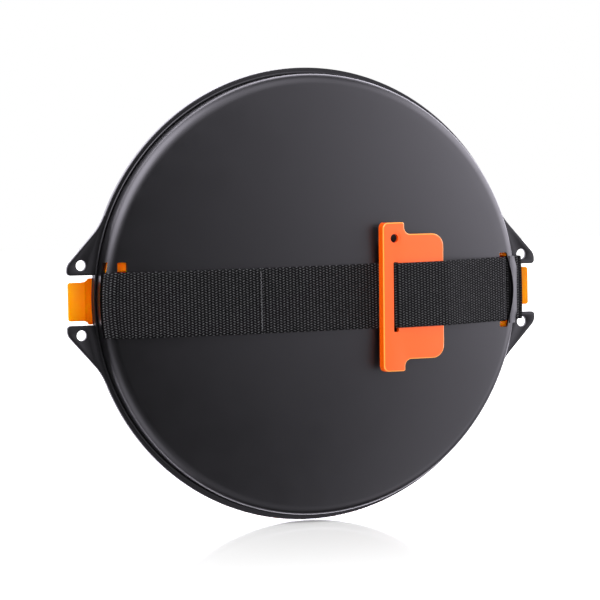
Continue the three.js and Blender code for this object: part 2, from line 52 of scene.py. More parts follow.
shell = {
    "wallRadius": 129.8,
    "wallHeight": 8.8,
    "shoulderRadius": 7.8,
    "crown": 32.0,
    "wall": 1.9,
    "footReach": 1.6,
    "footBack": 35.5,
    "footFront": 37.0,
    "footEdge": 0.3,
    "footStep": 0.5,
    "turns": 288,
    "domeSteps": 20,
    "shoulderSteps": 12,
}
slots = {
    "inner": 116.7,
    "width": 5.4,
    "half": 22.2,
    "corner": 0.8,
    "bow": 4.6,
    "lowEnd": 21.75,
    "sideTop": 19.3,
    "sideHeight": 5.9,
}
bridge = {"bulge": 1.7, "half": 12, "ramp": 8, "steps": 60}

shoulderX = shell["wallRadius"] - shell["shoulderRadius"]
shoulderY = shell["crown"] - shell["wallHeight"]
domeRadius = (shoulderX ** 2 + shoulderY ** 2 - shell["shoulderRadius"] ** 2) / (
    2 * (shoulderY - shell["shoulderRadius"])
)


# Drawing helpers
def arcPath(centre, radius, start, end, steps):
    points = []
    for i in range(steps + 1):
        angle = start + (end - start) * i / steps
        points.append((centre[0] + radius * math.cos(angle), centre[1] + radius * math.sin(angle)))
    return points


def extrude(bm, faces, step, keep=False):
    # pushes faces on by one step and returns the faces at their new end
    grown = bmesh.ops.extrude_face_region(bm, geom=faces, use_keep_orig=keep)
    moved = [item for item in grown["geom"] if isinstance(item, bmesh.types.BMVert)]
    bmesh.ops.translate(bm, verts=moved, vec=step)
    return [item for item in grown["geom"] if isinstance(item, bmesh.types.BMFace)]


def newThing(name, bm):
    mesh = bpy.data.meshes.new(name)
    bm.to_mesh(mesh)
    bm.free()
    thing = bpy.data.objects.new(name, mesh)
    bpy.context.scene.collection.objects.link(thing)
    return thing


def bake(thing):
    graph = bpy.context.evaluated_depsgraph_get()
    made = bpy.data.meshes.new_from_object(thing.evaluated_get(graph))
    thing.modifiers.clear()
    thing.data = made


def combine(target, tool, how):
    step = target.modifiers.new(how, "BOOLEAN")
    step.operation = how
    step.object = tool
    step.solver = "EXACT"
    bake(target)
    bpy.data.objects.remove(tool)


def roundEdges(thing, width, segments=2, angle=40):
    step = thing.modifiers.new("edges", "BEVEL")
    step.width = width
    step.segments = segments
    step.limit_method = "ANGLE"
    step.angle_limit = math.radians(angle)
    step.use_clamp_overlap = True
    bake(thing)


def finishPiece(thing, material, body, nodes, sharp=32):
    thing.data.transform(Matrix.Scale(mm, 4))
    thing.data.shade_smooth()
    thing.data.set_sharp_from_angle(angle=math.radians(sharp))
    thing.data.materials.clear()
    thing.data.materials.append(material)
    if nodes:
        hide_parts(*nodes)
    if body:
        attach(thing, body)


def spun(name, points, turns, closed=True):
    # the profile has the radius first and the depth second, and turns about the tray's axis
    bm = bmesh.new()
    made = [bm.verts.new((x, y, 0)) for x, y in points]
    for a, b in zip(made, made[1:]):
        bm.edges.new((a, b))
    if closed:
        bm.edges.new((made[-1], made[0]))
    bmesh.ops.spin(
        bm, geom=bm.verts[:] + bm.edges[:], cent=(0, 0, 0), axis=(0, 1, 0),
        angle=2 * math.pi, steps=turns, use_merge=True,
    )
    bmesh.ops.remove_doubles(bm, verts=bm.verts, dist=0.002)
    bmesh.ops.recalc_face_normals(bm, faces=bm.faces)
    return newThing(name, bm)


def polygonPlate(name, corners, back, front, segments=8):
    # each corner is x, z and the radius that rounds it; the plate runs from back to front along Y
    bm = bmesh.new()
    made = [bm.verts.new((x, back, z)) for x, z, radius in corners]
    bm.faces.new(made)
    count = len(corners)
    for i in range(count):
        radius = corners[i][2]
        if radius <= 0:
            continue
        here = Vector(corners[i][:2])
        before = (Vector(corners[i - 1][:2]) - here).normalized()
        after = (Vector(corners[(i + 1) % count][:2]) - here).normalized()
        half = before.angle(after) / 2
        bmesh.ops.bevel(
            bm, geom=[made[i]], offset=radius / math.tan(half), offset_type="OFFSET",
            affect="VERTICES", segments=segments, profile=0.5, material=-1, clamp_overlap=False,
        )
    extrude(bm, bm.faces[:], (0, front - back, 0))
    bmesh.ops.recalc_face_normals(bm, faces=bm.faces)
    return newThing(name, bm)


def roundBackEdges(thing, level, width, segments=5):
    # rounds the outline of the face at one level of Y
    bm = bmesh.new()
    bm.from_mesh(thing.data)
    rim = [edge for edge in bm.edges if all(abs(vert.co.y - level) < 0.001 for vert in edge.verts)]
    bmesh.ops.bevel(
        bm, geom=rim, offset=width, offset_type="OFFSET", affect="EDGES",
        segments=segments, profile=0.5, material=-1, clamp_overlap=False,
    )
    bm.to_mesh(thing.data)
    bm.free()


def block(name, low, high, corner=0):
    bm = bmesh.new()
    bmesh.ops.create_cube(bm, size=1)
    bmesh.ops.scale(bm, verts=bm.verts, vec=[b - a for a, b in zip(low, high)])
    bmesh.ops.translate(bm, verts=bm.verts, vec=[(a + b) / 2 for a, b in zip(low, high)])
    if corner:
        bmesh.ops.bevel(
            bm, geom=bm.edges[:], offset=corner, offset_type="OFFSET", affect="EDGES",
            segments=3, profile=0.5, material=-1,
        )
    return newThing(name, bm)


def disc(name, x, z, radius, back, front):
    bm = bmesh.new()
    bmesh.ops.create_cone(
        bm, cap_ends=True, cap_tris=False, segments=40, radius1=radius, radius2=radius,
        depth=front - back, matrix=Matrix.Rotation(math.pi / 2, 4, "X"),
    )
    bmesh.ops.translate(bm, verts=bm.verts, vec=(x, (back + front) / 2, z))
    return newThing(name, bm)


# Materials
def newMaterial(name, colour, roughness):
    material = bpy.data.materials.new(name)
    material.use_nodes = True
    shader = material.node_tree.nodes["Principled BSDF"]
    shader.inputs["Base Color"].default_value = (*colour, 1)
    shader.inputs["Roughness"].default_value = roughness
    return material, material.node_tree, shader


def calc(tree, operation, a, b=None):
    node = tree.nodes.new("ShaderNodeMath")
    node.operation = operation
    for i, value in enumerate((a, b)):
        if value is None:
            continue
        if isinstance(value, (int, float)):
            node.inputs[i].default_value = value
        else:
            tree.links.new(value, node.inputs[i])
    return node.outputs[0]


def easedRange(tree, value, start, end, strength):
    ramp = tree.nodes.new("ShaderNodeMapRange")
    ramp.interpolation_type = "SMOOTHSTEP"
    ramp.inputs["From Min"].default_value = start
    ramp.inputs["From Max"].default_value = end
    ramp.inputs["To Max"].default_value = strength
    tree.links.new(value, ramp.inputs["Value"])
    return ramp.outputs["Result"]


def objectNoise(tree, scale, detail=2.0, rough=0.5):
    place = tree.nodes.new("ShaderNodeTexCoord")
    noise = tree.nodes.new("ShaderNodeTexNoise")
    noise.inputs["Scale"].default_value = scale
    noise.inputs["Detail"].default_value = detail
    noise.inputs["Roughness"].default_value = rough
    tree.links.new(place.outputs["Object"], noise.inputs["Vector"])
    return noise.outputs["Fac"]


def spread(tree, value, low, high):
    node = tree.nodes.new("ShaderNodeMapRange")
    node.inputs["From Min"].default_value = 0.3
    node.inputs["From Max"].default_value = 0.7
    node.inputs["To Min"].default_value = low
    node.inputs["To Max"].default_value = high
    tree.links.new(value, node.inputs["Value"])
    return node.outputs["Result"]


def blendColours(tree, factor, first, second):
    node = tree.nodes.new("ShaderNodeMix")
    node.data_type = "RGBA"
    node.inputs["A"].default_value = (*first, 1)
    node.inputs["B"].default_value = (*second, 1)
    tree.links.new(factor, node.inputs["Factor"])
    return node.outputs["Result"]


def layOver(tree, shader, share, colour):
    # lays one more colour over what the shader already shows
    tint = tree.nodes.new("ShaderNodeMix")
    tint.data_type = "RGBA"
    tint.inputs["B"].default_value = (*colour, 1)
    tree.links.new(share, tint.inputs["Factor"])
    tree.links.new(shader.inputs["Base Color"].links[0].from_socket, tint.inputs["A"])
    tree.links.new(tint.outputs["Result"], shader.inputs["Base Color"])


def alongDirection(tree, value, direction):
    # how far a vector points along a direction: 1 along it, 0 across it
    near = tree.nodes.new("ShaderNodeVectorMath")
    near.operation = "DOT_PRODUCT"
    near.inputs[1].default_value = direction
    tree.links.new(value, near.inputs[0])
    return near.outputs["Value"]


def splitUp(tree, value):
    split = tree.nodes.new("ShaderNodeSeparateXYZ")
    tree.links.new(value, split.inputs["Vector"])
    return split.outputs


def addBump(tree, shader, height, strength, distance):
    bump = tree.nodes.new("ShaderNodeBump")
    bump.inputs["Strength"].default_value = strength
    bump.inputs["Distance"].default_value = distance
    tree.links.new(height, bump.inputs["Height"])
    tree.links.new(bump.outputs["Normal"], shader.inputs["Normal"])


def mouldedPlastic(name, dark, light, roughness, grain, grainScale=1800):
    # fine moulded grain, with slow changes of tone and gloss over the surface
    material, tree, shader = newMaterial(name, dark, sum(roughness) / 2)
    slow = objectNoise(tree, 22, 3)
    tree.links.new(blendColours(tree, slow, dark, light), shader.inputs["Base Color"])
    uneven = spread(tree, objectNoise(tree, 60, 4, 0.6), *roughness)
    tree.links.new(uneven, shader.inputs["Roughness"])
    addBump(tree, shader, objectNoise(tree, grainScale, 2), grain, 0.00006)
    return material


shellFinish = mouldedPlastic(
    "blackShell", dark=(0.0026, 0.0026, 0.0029), light=(0.0036, 0.0036, 0.004),
    roughness=(0.34, 0.4), grain=0.35,
)
ringFinish = mouldedPlastic(
    "blackRing", dark=(0.003, 0.003, 0.0033), light=(0.0044, 0.0044, 0.0048),
    roughness=(0.3, 0.38), grain=0.3,
)
panFinish = mouldedPlastic(
    "orangePan", dark=(1.0, 0.2, 0.0), light=(1.0, 0.23, 0.0),
    roughness=(0.3, 0.36), grain=0.15, grainScale=1200,
)
plateFinish = mouldedPlastic(
    "orangePlate", dark=(1.0, 0.105, 0.0), light=(1.0, 0.118, 0.0),
    roughness=(0.33, 0.39), grain=0.2, grainScale=1400,
)


def setShader(material, values):
    shader = material.node_tree.nodes["Principled BSDF"]
    for name, value in values.items():
        shader.inputs[name].default_value = value


def letLightThrough(material, weight, depth):
    # thin orange plastic glows where light falls on its far side
    setShader(material, {
        "Subsurface Weight": weight,
        "Subsurface Radius": (1, 0.35, 0.02),
        "Subsurface Scale": depth * mm,
    })


def paintTabTipLight(material, near, far, colour):
    # the thin pull tabs are painted yellower towards their tips and deeper at their roots: painted
    # light at the tips, painted shade at the roots
    tree = material.node_tree
    shader = tree.nodes["Principled BSDF"]
    place = tree.nodes.new("ShaderNodeTexCoord")
    reach = calc(tree, "ABSOLUTE", splitUp(tree, place.outputs["Object"])["X"])
    share = easedRange(tree, reach, near * mm, far * mm, 1)
    layOver(tree, shader, share, colour)


def paintEdgeHighlight(material, facing, colour, share):
    # rounded edges, which face neither along nor across the given direction, are painted paler: a
    # painted highlight along the edges
    tree = material.node_tree
    shader = tree.nodes["Principled BSDF"]
    place = tree.nodes.new("ShaderNodeTexCoord")
    near = alongDirection(tree, place.outputs["Normal"], facing)
    off = easedRange(tree, near, 0.99, 0.85, share)
    edge = calc(tree, "MULTIPLY", off, easedRange(tree, near, 0.1, 0.5, 1))
    layOver(tree, shader, edge, colour)


# painted light: the tab tips are painted yellower and the roots left deeper orange as painted shade
paintTabTipLight(panFinish, near=132, far=145, colour=(1.0, 0.35, 0.0))
letLightThrough(panFinish, weight=1.0, depth=1.2)
setShader(panFinish, {"Specular IOR Level": 0.2})
setShader(ringFinish, {"Specular IOR Level": 0.4})
setShader(plateFinish, {"Specular IOR Level": 0.45, "Coat Weight": 0.35, "Coat Roughness": 0.16})

weave = {
    "along": 2.05,
    "across": 1.5,
    "slant": 0.45,
    "dark": (0.0015, 0.0015, 0.0016),
    # colour of the painted sheen on the tops of the floats
    "light": (0.11, 0.11, 0.115),
    "roughness": 0.6,
    "bump": 0.7,
    "bumpDepth": 0.45,
    "roundAcross": 1.4,
    "roundAlong": 0.7,
    "highlight": 3.5,
    "fuzz": 0.3,
    "gloss": 0.06,
}


def wovenStrap():
    # columns of short slanted floats, each column half a step along from the last and slanted
    # the other way
    material, tree, shader = newMaterial("blackWebbing", weave["dark"], weave["roughness"])
    place = tree.nodes.new("ShaderNodeUVMap")
    place.uv_map = "strap"
    flat = splitUp(tree, place.outputs["UV"])
    # the weave stays where it is on the tray while the slide plate stretches or gathers the mesh
    rest = tree.nodes.new("ShaderNodeUVMap")
    rest.uv_map = "rest"
    restAt = splitUp(tree, rest.outputs["UV"])
    now = tree.nodes.new("ShaderNodeTexCoord")
    nowAt = splitUp(tree, now.outputs["Object"])
    moved = calc(tree, "SUBTRACT", nowAt["X"], restAt["X"])
    across = calc(tree, "DIVIDE", flat["X"], weave["across"] * mm)
    along = calc(tree, "DIVIDE", calc(tree, "ADD", flat["Y"], moved), weave["along"] * mm)
    column = calc(tree, "FLOOR", along)
    cellAlong = calc(tree, "SUBTRACT", along, column)
    odd = calc(tree, "FRACT", calc(tree, "MULTIPLY", column, 0.5))
    lean = calc(tree, "MULTIPLY", calc(tree, "SUBTRACT", odd, 0.25), 4 * weave["slant"])
    leaning = calc(tree, "MULTIPLY", lean, calc(tree, "SUBTRACT", cellAlong, 0.5))
    cellAcross = calc(tree, "FRACT", calc(tree, "ADD", calc(tree, "ADD", across, odd), leaning))
    humpAcross = calc(tree, "SINE", calc(tree, "MULTIPLY", cellAcross, math.pi))
    humpAlong = calc(tree, "SINE", calc(tree, "MULTIPLY", cellAlong, math.pi))
    roundAcross = calc(tree, "POWER", humpAcross, weave["roundAcross"])
    roundAlong = calc(tree, "POWER", humpAlong, weave["roundAlong"])
    hump = calc(tree, "MULTIPLY", roundAcross, roundAlong)
    fibre = objectNoise(tree, 5200, 3, 0.65)
    height = calc(tree, "ADD", hump, calc(tree, "MULTIPLY", fibre, weave["fuzz"]))
    # painted sheen: the tops of the floats are painted lighter and the gaps between them stay dark,
    # as painted shade
    litFloatTops = calc(tree, "POWER", hump, weave["highlight"])
    paintedSheen = calc(tree, "MULTIPLY", litFloatTops, spread(tree, objectNoise(tree, 900, 2), 0.45, 1.2))
    colour = blendColours(tree, paintedSheen, weave["dark"], weave["light"])
    tree.links.new(colour, shader.inputs["Base Color"])
    setShader(material, {"Specular IOR Level": weave["gloss"]})
    addBump(tree, shader, height, weave["bump"], weave["bumpDepth"] * mm)
    return material


def twistedThread():
    material, tree, shader = newMaterial("seamThread", (0.05, 0.05, 0.052), 0.6)
    wave = tree.nodes.new("ShaderNodeTexWave")
    wave.bands_direction = "DIAGONAL"
    wave.inputs["Scale"].default_value = 900
    place = tree.nodes.new("ShaderNodeTexCoord")
    tree.links.new(place.outputs["Object"], wave.inputs["Vector"])
    # painted sheen: the raised bands of the twist are painted lighter than the sunken ones
    colour = blendColours(tree, wave.outputs["Fac"], (0.02, 0.02, 0.021), (0.09, 0.09, 0.093))
    tree.links.new(colour, shader.inputs["Base Color"])
    addBump(tree, shader, wave.outputs["Fac"], 0.4, 0.0002)
    return material


webFinish = wovenStrap()
threadFinish = twistedThread()
print("materials ready")


# Shell
def bowlPath(depth, corner, wallEnd):
    # from the crown round the shoulder to the end of the straight wall
    wallX = shell["wallRadius"] - depth
    sphere = domeRadius - depth
    cornerX = wallX - corner
    cornerY = domeRadius - math.sqrt((sphere - corner) ** 2 - cornerX ** 2)
    meeting = math.atan2(cornerY - domeRadius, cornerX)
    path = arcPath((0, domeRadius), sphere, -math.pi / 2, meeting, shell["domeSteps"])
    path[0] = (0, path[0][1])
    path += arcPath((cornerX, cornerY), corner, meeting, 0, shell["shoulderSteps"])[1:]
    return path + [(wallX, wallEnd)]


def bridgeSide():
    # the bridge on the slide plate's side stands proud between its two slots
    path = bowlPath(0, shell["shoulderRadius"], slots["sideTop"] + slots["sideHeight"])
    outer = path[shell["domeSteps"]:-2]
    inner = [(x - shell["wall"], y + shell["wall"]) for x, y in reversed(outer)]
    bm = bmesh.new()
    made = [bm.verts.new((x, y, 0)) for x, y in outer + inner]
    ring = bm.faces.new(made)
    length = 2 * (bridge["half"] + bridge["ramp"])
    steps = bridge["steps"]
    bmesh.ops.translate(bm, verts=made, vec=(0, 0, -length / 2))
    faces = [ring]
    for i in range(steps):
        faces = extrude(bm, faces, (0, 0, length / steps), keep=(i == 0))
    inside = outer[0][0]
    for vert in bm.verts:
        share = min(1, (length / 2 - abs(vert.co.z)) / bridge["ramp"])
        share = share * share * (3 - 2 * share)
        along = min(1, max(0, (vert.co.x - inside) / (shell["wallRadius"] - inside)))
        vert.co.x += bridge["bulge"] * share * along
    bmesh.ops.recalc_face_normals(bm, faces=bm.faces)
    return newThing("bridge", bm)


def slotCutter(side):
    near = slots["inner"]
    far = near + slots["width"]
    half = slots["half"]
    low = half if side > 0 else slots["lowEnd"]
    corners = [(near, -low, slots["corner"]), (far, -low, slots["corner"])]
    if side > 0:
        for i in range(-4, 5):
            z = (half - 3) * i / 5
            corners.append((far + slots["bow"] * math.cos(math.pi / 2 * z / (half - 2)), z, 0))
    corners += [(far, half, slots["corner"]), (near, half, slots["corner"])]
    if side < 0:
        corners = [(-x, z, r) for x, z, r in corners]
    return polygonPlate("slotCutter", corners, -5, slots["sideTop"], 5)


def makeShell():
    step = shell["footStep"]
    edge = shell["footEdge"]
    outer = bowlPath(0, shell["shoulderRadius"], shell["footBack"] - step)
    reach = shell["wallRadius"] + shell["footReach"]
    foot = [
        (shell["wallRadius"] + step, shell["footBack"]),
        (reach - edge, shell["footBack"]),
        (reach, shell["footBack"] + edge),
        (reach, shell["footFront"] - edge),
        (reach - edge, shell["footFront"]),
    ]
    inner = bowlPath(shell["wall"], shell["shoulderRadius"] - shell["wall"], shell["footFront"])
    thing = spun("backShell", outer + foot + inner[::-1], shell["turns"], closed=False)
    combine(thing, bridgeSide(), "UNION")
    for side in (1, -1):
        combine(thing, slotCutter(side), "DIFFERENCE")
        ends = sorted((side * shoulderX, side * (shell["wallRadius"] + 8)))
        low = (ends[0], slots["sideTop"], -slots["half"] if side > 0 else -slots["lowEnd"])
        high = (ends[1], slots["sideTop"] + slots["sideHeight"], slots["half"])
        combine(thing, block("sideSlot", low, high), "DIFFERENCE")
    return thing


shellPiece = makeShell()
finishPiece(shellPiece, shellFinish, "tray", ["back_shell"], 28)
print("shell made")

# Rim ring
ring = {
    "radius": 133.5,
    "back": 32.0,
    "thickness": 3.2,
    "bore": 129.95,
    "beadWidth": 1.1,
    "beadHeight": 0.4,
    "beadEdge": 0.25,
    "rootInset": 0.25,
    "edge": 0.35,
    "tip": 147.2,
    "tipHeight": 17.5,
    "tipRadius": 7.3,
    "edgeAngle": 47.7,
    "blendRadius": 36,
    "corner": 2.0,
    "notch": 14.5,
    "notchDepth": 2.3,
    "holeX": 138.8,
    "holeZ": 20.3,
    "holeRadius": 3.05,
}


def earPair():
    # the two ears at the right and the notch between them, with their root inside the ring
    slope = math.radians(90 - ring["edgeAngle"])
    tipX = ring["tip"] - ring["tipRadius"]
    distance = tipX * math.cos(slope) + ring["tipHeight"] * math.sin(slope) + ring["tipRadius"]
    reach = ring["radius"] + ring["blendRadius"]
    leave = slope - math.acos((distance + ring["blendRadius"]) / reach)
    blend = (reach * math.cos(leave), reach * math.sin(leave))
    upper = arcPath(blend, ring["blendRadius"], leave + math.pi, slope + math.pi, 14)
    upper += arcPath((tipX, ring["tipHeight"]), ring["tipRadius"], slope, 0, 12)
    corner = (ring["tip"] - ring["corner"], ring["notch"] + ring["corner"])
    upper += arcPath(corner, ring["corner"], 0, -math.pi / 2, 6)
    root = ring["bore"] + ring["rootInset"]
    floor = ring["radius"] - ring["notchDepth"]
    notch = math.asin(ring["notch"] / floor)
    upper += arcPath((0, 0), floor, notch, 0, 6)[:-1]
    lower = [(x, -z) for x, z in reversed(upper)]
    leaveIn = leave + 0.004
    inside = arcPath((0, 0), root, -leaveIn, leaveIn, 24)
    return [(x, z, 0) for x, z in upper + lower + inside]


def makeRing():
    front = ring["back"] + ring["thickness"]
    edge = ring["edge"]
    bore = ring["bore"]
    bead = bore + ring["beadWidth"]
    section = [
        (bore, ring["back"] - ring["beadHeight"] / 2),
        (bore + ring["beadEdge"], ring["back"] - ring["beadHeight"]),
        (bead - ring["beadEdge"], ring["back"] - ring["beadHeight"]),
        (bead, ring["back"] - ring["beadHeight"] / 3),
        (bead + 0.2, ring["back"]),
        (ring["radius"] - edge, ring["back"]),
        (ring["radius"], ring["back"] + edge),
        (ring["radius"], front - edge),
        (ring["radius"] - edge, front),
        (bore, front),
    ]
    thing = spun("rimRing", section, shell["turns"])
    outline = earPair()
    floor = ring["radius"] - ring["notchDepth"] - 0.3
    halfNotch = ring["notch"] + 1
    notch = math.asin(halfNotch / floor)
    opening = arcPath((0, 0), floor, -notch, notch, 12)
    opening += [(ring["tip"], halfNotch), (ring["tip"], -halfNotch)]
    for side in (1, -1):
        corners = [(side * x, z, 0) for x, z in opening]
        cutter = polygonPlate("opening", corners, ring["back"] - 0.1, front + 1)
        combine(thing, cutter, "DIFFERENCE")
        corners = [(side * x, z, r) for x, z, r in outline]
        ears = polygonPlate("ears", corners, ring["back"], front)
        for sideZ in (1, -1):
            hole = disc("hole", side * ring["holeX"], sideZ * ring["holeZ"], ring["holeRadius"],
                        ring["back"] - 1, front + 1)
            combine(ears, hole, "DIFFERENCE")
        roundEdges(ears, 0.8 * edge, 2, 60)
        combine(thing, ears, "UNION")
    return thing


ringPiece = makeRing()
finishPiece(ringPiece, ringFinish, "tray", ["rim_ring"], 28)
print("ring made")

# Pan
pan = {
    "fit": 0.5,
    "wall": 2.0,
    "rimRadius": 130.6,
    "rimBack": 37.3,
    "rimThickness": 2.4,
    "turn": 0.4,
    "turns": 240,
    "rimEdge": 0.6,
    "rimBackEdge": 0.4,
    "corner": 8,
    "pocketFloor": 25.3,
    "strapFit": 0.6,
    "tabTip": 145.15,
    "tabHalf": 11.25,
    "tabThickness": 2.0,
    "tabLift": 0.2,
    "tabDip": 0.7,
    "tabFlare": 2.2,
    "tabFlareReach": 4.5,
    "tabFlareEnd": 3.7,
    "tabCorner": 1.4,
    "ribs": 7,
    "ribPitch": 11,
    "ribWidth": 3.2,
    "ribHeight": 1.8,
    "ribField": 92,
    "ribStart": 12,
}
web = {
    "width": 38,
    "thickness": 1.5,
    "tilt": 0.79,
    "drop": 0.93,
    "gap": 0.3,
    "bend": 1.6,
    "lapEnd": 39.2,
    "hemHeight": 7.6,
    "hemStandoff": 1.2,
    "diveInset": 4.4,
    "diveRadius": 5,
    "diveSlope": 0.3,
    "runSag": 0.5,
    "selvedge": 0.55,
    "selvedgeEdge": 0.15,
    "wrapEase": (118.9, 124),
    "hemEase": (125, 131),
    "hemBulge": 0.6,
}


def strapHeight(x):
    return x * math.sin(math.radians(web["tilt"])) - web["drop"]


def strapPocket(side, grown):
    # room for the strap where it passes behind a bridge, in the turned pan's own frame
    across = side * (slots["inner"] + slots["width"] / 2)
    middle = strapHeight(across) - across * math.sin(math.radians(pan["turn"]))
    half = web["width"] / 2 + pan["strapFit"] + grown
    near = slots["inner"] - pan["strapFit"] - grown
    ends = sorted((side * near, side * (shell["wallRadius"] + 6)))
    low = (ends[0], 0, middle - half)
    high = (ends[1], pan["pocketFloor"] + grown, middle + half)
    return block("pocket", low, high, 0.8)


def pullTab(side):
    # grows out of the rim through the notch, dips at its root and rises to its tip
    half = pan["tabHalf"]
    flare = pan["tabFlare"]
    rootX = pan["rimRadius"] - 2
    flareX = ring["radius"] + 2
    flareEnd = ring["radius"] + pan["tabFlareEnd"]
    upper = [(rootX, half + flare)]
    for x, z in arcPath((0, 0), 1, math.pi, math.pi * 1.5, 8):
        upper.append((flareEnd + x * pan["tabFlareReach"], half + flare + z * flare))
    tip = (pan["tabTip"] - pan["tabCorner"], half - pan["tabCorner"])
    upper += arcPath(tip, pan["tabCorner"], math.pi / 2, 0, 5)
    outline = upper + [(x, -z) for x, z in reversed(upper)]
    corners = [(side * x, z, 0) for x, z in outline]
    plan = polygonPlate("plan", corners, 30, 45)
    back = pan["rimBack"]
    crest = [
        (rootX, back + pan["tabDip"]),
        (ring["radius"] - 1, back + pan["tabDip"]),
        (flareX - 1.6, back + 0.35),
        (flareX - 0.4, back - 0.1),
        (flareX + 1, back - pan["tabLift"] * 0.55),
        (flareX + 3, back - pan["tabLift"] * 0.85),
        (pan["tabTip"] + 1, back - pan["tabLift"]),
    ]
    bm = bmesh.new()
    section = crest + [(x, y + pan["tabThickness"]) for x, y in reversed(crest)]
    made = [bm.verts.new((side * x, y, -half - flare - 1)) for x, y in section]
    bm.faces.new(made)
    extrude(bm, bm.faces[:], (0, 0, 2 * (half + flare + 1)))
    bmesh.ops.recalc_face_normals(bm, faces=bm.faces)
    tab = newThing("tab", bm)
    combine(tab, plan, "INTERSECT")
    roundEdges(tab, 0.35, 2, 50)
    return tab


def ribAt(z, floorRadius):
    # an arch in section, turned about the dome's centre so that it follows the floor
    radius = math.sqrt(floorRadius ** 2 - z ** 2)
    half = math.sqrt(pan["ribField"] ** 2 - z ** 2)
    reach = math.asin(half / radius)
    width = pan["ribWidth"]
    bm = bmesh.new()
    arch = [(-width / 2 - 0.8, -0.6), (-width / 2 - 0.5, 0)]
    arch += [(width / 2 * math.sin(a), pan["ribHeight"] * math.cos(a)) for a in
             [math.radians(d) for d in range(-75, 76, 25)]]
    arch += [(width / 2 + 0.5, 0), (width / 2 + 0.8, -0.6)]
    made = [bm.verts.new((0, domeRadius - radius + rise, z + across)) for across, rise in arch]
    bm.faces.new(made)
    centre = (0, domeRadius, 0)
    bmesh.ops.rotate(bm, verts=bm.verts, cent=centre, matrix=Matrix.Rotation(-reach, 3, "Z"))
    bmesh.ops.spin(
        bm, geom=bm.faces[:], cent=centre, axis=(0, 0, 1),
        angle=2 * reach, steps=40,
    )
    bmesh.ops.recalc_face_normals(bm, faces=bm.faces)
    return newThing("rib", bm)


def makePan():
    outside = shell["wall"] + pan["fit"]
    inside = outside + pan["wall"]
    front = pan["rimBack"] + pan["rimThickness"]
    edge = pan["rimEdge"]
    outer = bowlPath(outside, shell["shoulderRadius"] - outside, pan["rimBack"])
    rim = [
        (pan["rimRadius"] - pan["rimBackEdge"], pan["rimBack"]),
        (pan["rimRadius"], pan["rimBack"] + pan["rimBackEdge"]),
        (pan["rimRadius"], front - edge),
        (pan["rimRadius"] - edge * 0.3, front - edge * 0.3),
        (pan["rimRadius"] - edge, front),
        (0, front),
    ]
    thing = spun("paintPan", outer + rim, pan["turns"], closed=False)
    mouth = shell["wallRadius"] - inside
    inner = bowlPath(inside, pan["corner"], front - 1.2)
    lip = [
        (mouth + 0.25, front - 0.4),
        (mouth + 1.0, front + 0.02),
        (mouth + 1.0, front + 2),
        (0, front + 2),
    ]
    cavity = spun("cavity", inner + lip, pan["turns"], closed=False)
    for side in (1, -1):
        combine(thing, strapPocket(side, 0), "DIFFERENCE")
        combine(cavity, strapPocket(side, pan["wall"]), "DIFFERENCE")
    combine(thing, cavity, "DIFFERENCE")
    for i in range(pan["ribs"]):
        rib = ribAt(pan["ribStart"] + i * pan["ribPitch"], domeRadius - inside)
        combine(thing, rib, "UNION")
    for side in (1, -1):
        combine(thing, pullTab(side), "UNION")
    thing.data.transform(Matrix.Rotation(-math.radians(pan["turn"]), 4, "Y"))
    return thing


panPiece = makePan()
finishPiece(panPiece, panFinish, "pan", ["paint_pan"], 30)
print("pan made")

# Slide plate
plate = {
    "x": 52.9,
    "drop": 1.3,
    "width": 40.2,
    "half": 43.7,
    "step": 14.2,
    "shoulder": 36.7,
    "stepRadius": 4.2,
    "stepCorner": 1.1,
    "thickness": 2.6,
    "lip": 2.4,
    "lipDepth": 5.6,
    "corner": 7.5,
    "smallCorner": 3.6,
    "slotX": 6.7,
    "slotWidth": 3.2,
    "slotHalf": 20.5,
    "holeX": 7.6,
    "holeZ": 34.4,
    "holeRadius": 2.6,
    "seatReach": 1.4,
    "seatDepth": 0.2,
    "bendRun": 3,
    "edge": 0.9,
}
firstLift = web["gap"] + web["thickness"] / 2
lapLift = firstLift + web["gap"] + web["thickness"]
plateTop = 2 * web["gap"] + web["thickness"] + plate["lipDepth"]
overPlate = plateTop + web["gap"] + web["thickness"] / 2
plateAngle = math.asin(plate["x"] / domeRadius)


def makePlate():
    left = -plate["width"] / 2
    right = plate["width"] / 2
    half = plate["half"]
    shoulder = plate["shoulder"]
    step = left + plate["step"]
    upper = [
        (left, half, plate["smallCorner"]),
        (step, half, plate["stepCorner"]),
        (step, shoulder, plate["stepRadius"]),
        (right, shoulder, plate["corner"]),
    ]
    corners = upper + [(x, -z, r) for x, z, r in reversed(upper)]
    plateBottom = plate["thickness"] - plateTop
    thing = polygonPlate("strapSlider", corners, -plateTop, plateBottom, 10)
    roundBackEdges(thing, -plateTop, plate["edge"])
    lipX = left + plate["lip"]
    lipCorners = [
        (left, half, plate["smallCorner"]),
        (lipX, half, 0),
        (lipX, -half, 0),
        (left, -half, plate["smallCorner"]),
    ]
    lipTop = 1.5 * plate["edge"] - plateTop
    lip = polygonPlate("lip", lipCorners, lipTop, plate["lipDepth"] - plateTop, 10)
    combine(thing, lip, "UNION")
    slotLeft = left + plate["slotX"]
    slotLow = (slotLeft, -plateTop - 2, -plate["slotHalf"])
    slotHigh = (slotLeft + plate["slotWidth"], plateBottom + 2, plate["slotHalf"])
    combine(thing, block("plateSlot", slotLow, slotHigh, 0.7), "DIFFERENCE")
    holeX = left + plate["holeX"]
    hole = disc("plateHole", holeX, plate["holeZ"], plate["holeRadius"],
                -plateTop - 1, plateBottom + 1)
    combine(thing, hole, "DIFFERENCE")
    seat = disc("holeSeat", holeX, plate["holeZ"], plate["holeRadius"] + plate["seatReach"],
                -plateTop - 1, plate["seatDepth"] - plateTop)
    combine(thing, seat, "DIFFERENCE")
    turn = Matrix.Translation((0, domeRadius, 0)) @ Matrix.Rotation(plateAngle, 4, "Z")
    turn = turn @ Matrix.Translation((0, -domeRadius, 0))
    thing.data.transform(Matrix.Translation((0, 0, -plate["drop"])) @ turn)
    return thing


